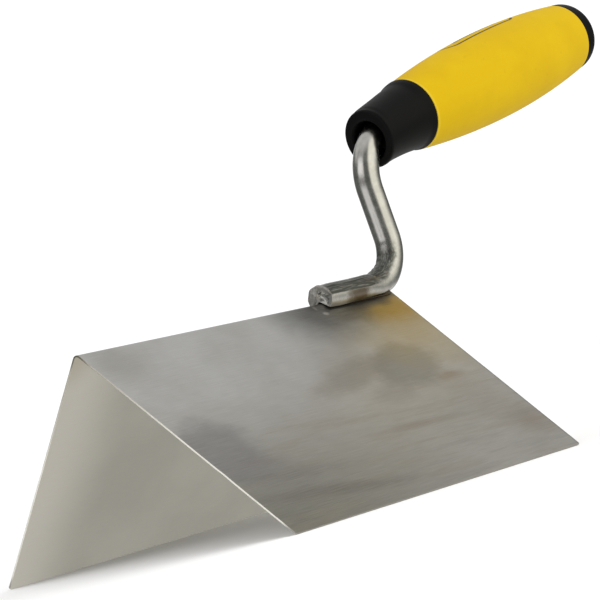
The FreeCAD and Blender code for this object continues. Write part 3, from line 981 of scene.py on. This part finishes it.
def make_floor():
    """Pale floor at the part's lowest point. Steel mirrors make_world's table instead of it."""
    mesh = bpy.data.meshes.new("floor")
    reach = 6.0
    corners = [(-reach, -reach, 0), (reach, -reach, 0), (reach, reach, 0), (-reach, reach, 0)]
    mesh.from_pydata(corners, [], [(0, 1, 2, 3)])
    floor = bpy.data.objects.new("floor", mesh)
    bpy.context.scene.collection.objects.link(floor)
    material = bpy.data.materials.new("pale_floor")
    material.use_nodes = True
    surface = material.node_tree.nodes["Principled BSDF"]
    surface.inputs["Base Color"].default_value = (0.93, 0.93, 0.93, 1.0)
    surface.inputs["Roughness"].default_value = 0.9
    surface.inputs["Specular IOR Level"].default_value = 0.0
    mesh.materials.append(material)
    floor.visible_glossy = False


def make_world():
    """A white tent. Steel mirrors a dimmer one: a table below, a light panel to the right of the
    camera and a lower one to its left, and the dark gap between them where the camera stands."""
    world = bpy.data.worlds.new("studio")
    bpy.context.scene.world = world
    world.use_nodes = True
    n = Nodes(world.node_tree)
    x, y, z = n.split(n.tree.nodes.new("ShaderNodeTexCoord").outputs["Generated"])
    c, s = math.cos(CAMERA_HEADING), math.sin(CAMERA_HEADING)
    # side is the direction in degrees: 0 is towards the camera, positive to its right
    toward = n.add(n.times(x, -c), n.times(y, -s))
    right = n.add(n.times(x, s), n.times(y, -c))
    side = n.times(n.math("ARCTAN2", right, toward), 180 / math.pi)
    left_panel = n.times(n.step(side, -86, -66), n.step(side, -14, -32))
    low_part = n.times(n.step(z, 0.09, 0.02), 0.80)
    high_part = n.times(n.times(n.step(z, 0.24, 0.34), n.step(z, 0.80, 0.60)), 1.15)
    left_panel = n.times(left_panel, n.add(low_part, high_part))
    right_panel = n.times(n.times(n.step(side, 16, 42), n.step(side, 128, 50)), 1.32)
    right_panel = n.times(right_panel, n.add(0.5, n.times(n.step(z, -0.24, -0.02), 0.5)))
    backdrop = n.times(n.step(n.math("ABSOLUTE", side), 142, 164), 0.55)
    shade = n.mix(left_panel, (0.12, 0.125, 0.12), (1.08, 1.06, 1.065))
    shade = n.mix(right_panel, shade, (1.12, 1.10, 0.98))
    shade = n.mix(backdrop, shade, (1.0, 1.0, 1.0))
    over = n.times(n.step(z, 0.40, 0.66), n.step(side, -60, -110))
    over = n.math("MAXIMUM", over, n.times(n.step(z, 0.40, 0.66), n.step(side, 60, 110)))
    over = n.math("MAXIMUM", over, n.step(z, 0.66, 0.90))
    shade = n.mix(over, shade, (0.60, 0.60, 0.59))
    shade = n.mix(n.step(z, -0.22, -0.44), shade, (0.62, 0.61, 0.58))
    tent, mirrored = (n.tree.nodes.new("ShaderNodeBackground") for _ in range(2))
    tent.inputs["Color"].default_value = (1.0, 1.0, 1.0, 1.0)
    tent.inputs["Strength"].default_value = TENT
    n.feed(mirrored.inputs["Color"], shade)
    either = n.tree.nodes.new("ShaderNodeMixShader")
    output = n.tree.nodes.new("ShaderNodeOutputWorld")
    n.feed(either.inputs[0], n.tree.nodes.new("ShaderNodeLightPath").outputs["Is Glossy Ray"])
    n.feed(either.inputs[1], tent.outputs[0])
    n.feed(either.inputs[2], mirrored.outputs[0])
    n.feed(output.inputs["Surface"], either.outputs[0])
    # light sampling would look for the panels through the floor and lose their light
    world.cycles.sampling_method = "NONE"


def make_softbox(name, azimuth, elevation, size, radiance, colour=(1.0, 1.0, 1.0)):
    """Rectangular light that faces the trowel from a compass direction (0 is +X, 90 is +Y)."""
    aim = Vector((0.0, 0.0, 0.07))
    a, e = math.radians(azimuth), math.radians(elevation)
    out = Vector((math.cos(a) * math.cos(e), math.sin(a) * math.cos(e), math.sin(e)))
    lamp = bpy.data.lights.new(name, "AREA")
    lamp.shape = "RECTANGLE"
    lamp.size, lamp.size_y = size
    lamp.energy = radiance * math.pi * size[0] * size[1]
    lamp.color = colour
    holder = bpy.data.objects.new(name, lamp)
    holder.location = aim + out * SOFTBOX_DISTANCE
    holder.rotation_euler = out.to_track_quat("Z", "Y").to_euler()
    holder.visible_camera = False
    holder.visible_glossy = False
    bpy.context.scene.collection.objects.link(holder)


def make_camera():
    """Low three-quarter view from the nose end, tilted so that the handle rises to the right."""
    look = Vector((math.cos(CAMERA_HEADING) * math.cos(CAMERA_CLIMB),
                   math.sin(CAMERA_HEADING) * math.cos(CAMERA_CLIMB), math.sin(CAMERA_CLIMB)))
    level_right = look.cross(Vector((0, 0, 1))).normalized()
    level_up = level_right.cross(look)
    right = math.cos(CAMERA_ROLL) * level_right + math.sin(CAMERA_ROLL) * level_up
    up = -math.sin(CAMERA_ROLL) * level_right + math.cos(CAMERA_ROLL) * level_up
    camera = bpy.data.cameras.new("camera")
    camera.sensor_width = 36.0
    camera.lens = 125.98
    camera.clip_start = 0.01
    holder = bpy.data.objects.new("camera", camera)
    turn = Matrix((right, up, -look)).transposed()
    holder.matrix_world = Matrix.Translation(to_row(CAMERA_PLACE)) @ turn.to_4x4()
    bpy.context.scene.collection.objects.link(holder)
    bpy.context.scene.camera = holder


make_floor()
make_world()
make_softbox("softbox_right", 280, 25, (1.35, 1.1), 0.8, (1.0, 0.985, 0.95))
make_camera()
bpy.context.scene.view_settings.view_transform = "Standard"
